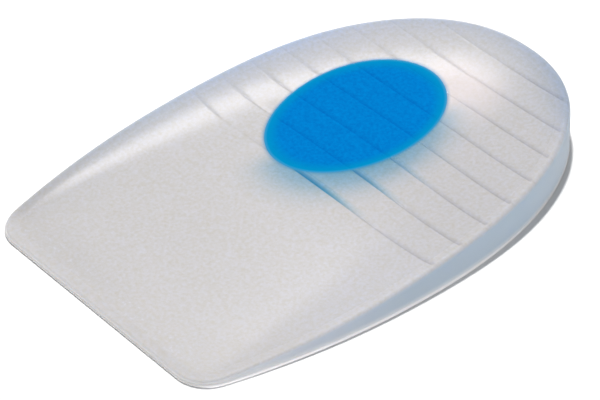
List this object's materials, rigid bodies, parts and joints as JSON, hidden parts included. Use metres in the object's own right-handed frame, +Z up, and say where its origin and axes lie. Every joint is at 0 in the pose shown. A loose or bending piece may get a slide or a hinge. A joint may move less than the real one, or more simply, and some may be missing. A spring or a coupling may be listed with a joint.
{
  "type": "heel cushion",
  "caption": "Translucent silicone heel cushion: a thin wedge with a straight front, round heel, dished top with cross channels and a flush blue gel spot.",
  "frame": {"origin": "middle of the outline's box on the flat underside", "axes": "+Z up out of the dished top, +Y towards the back of the heel, X across; the gel spot lies towards -X"},
  "size_m": [0.0678, 0.1, 0.0085],
  "materials": {
    "milky_silicone": "translucent milky white silicone with a fine satin skin",
    "blue_gel": "softer blue gel with a satin skin, flush with the silicone"
  },
  "bodies": {
    "root": {"cushion_body": "milky_silicone", "soft_spot": "blue_gel"}
  },
  "joints": []
}
